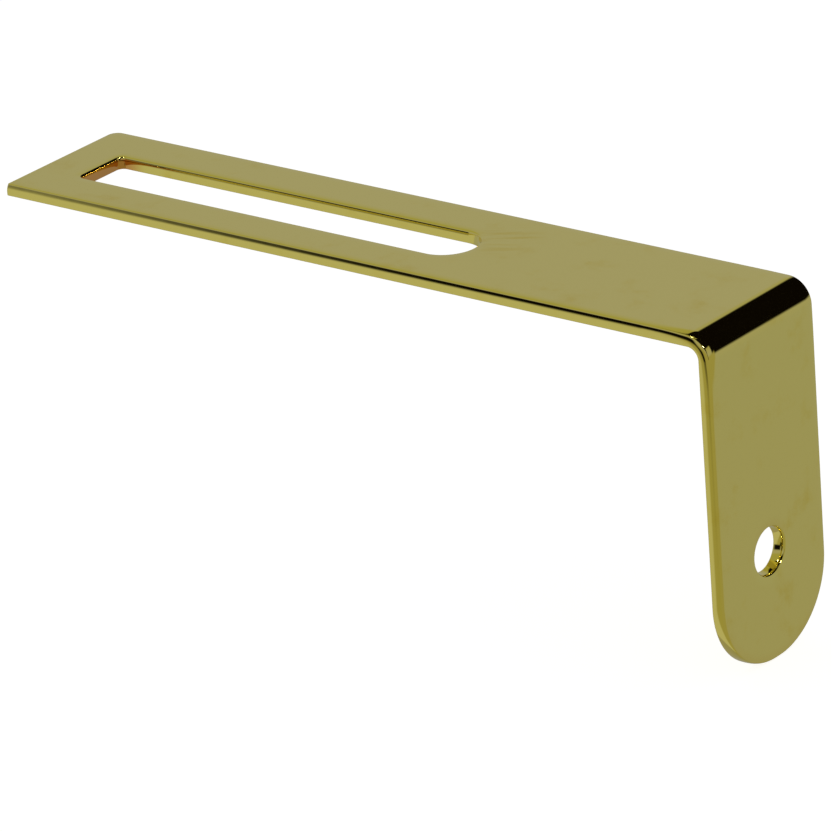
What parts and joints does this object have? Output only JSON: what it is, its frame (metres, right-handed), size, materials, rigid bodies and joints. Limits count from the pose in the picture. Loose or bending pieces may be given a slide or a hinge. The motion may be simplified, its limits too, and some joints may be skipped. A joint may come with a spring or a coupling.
{
  "type": "slotted angle stay",
  "caption": "Flat strip bent once to a right angle, with a long slot in one leg for an adjusting screw and a round fixing hole near the rounded foot of the other.",
  "frame": {"origin": "centre of the fixing hole on the outer face of the short leg", "axes": "+X out of the short leg's outer face, with the long leg running towards -X; +Y across the strip; +Z from the foot up to the long leg"},
  "size_m": [0.0648, 0.0128, 0.027],
  "materials": {
    "plated_strip": "polished, gold-coloured plating"
  },
  "bodies": {
    "root": {"stay_bracket": "plated_strip"}
  },
  "joints": []
}
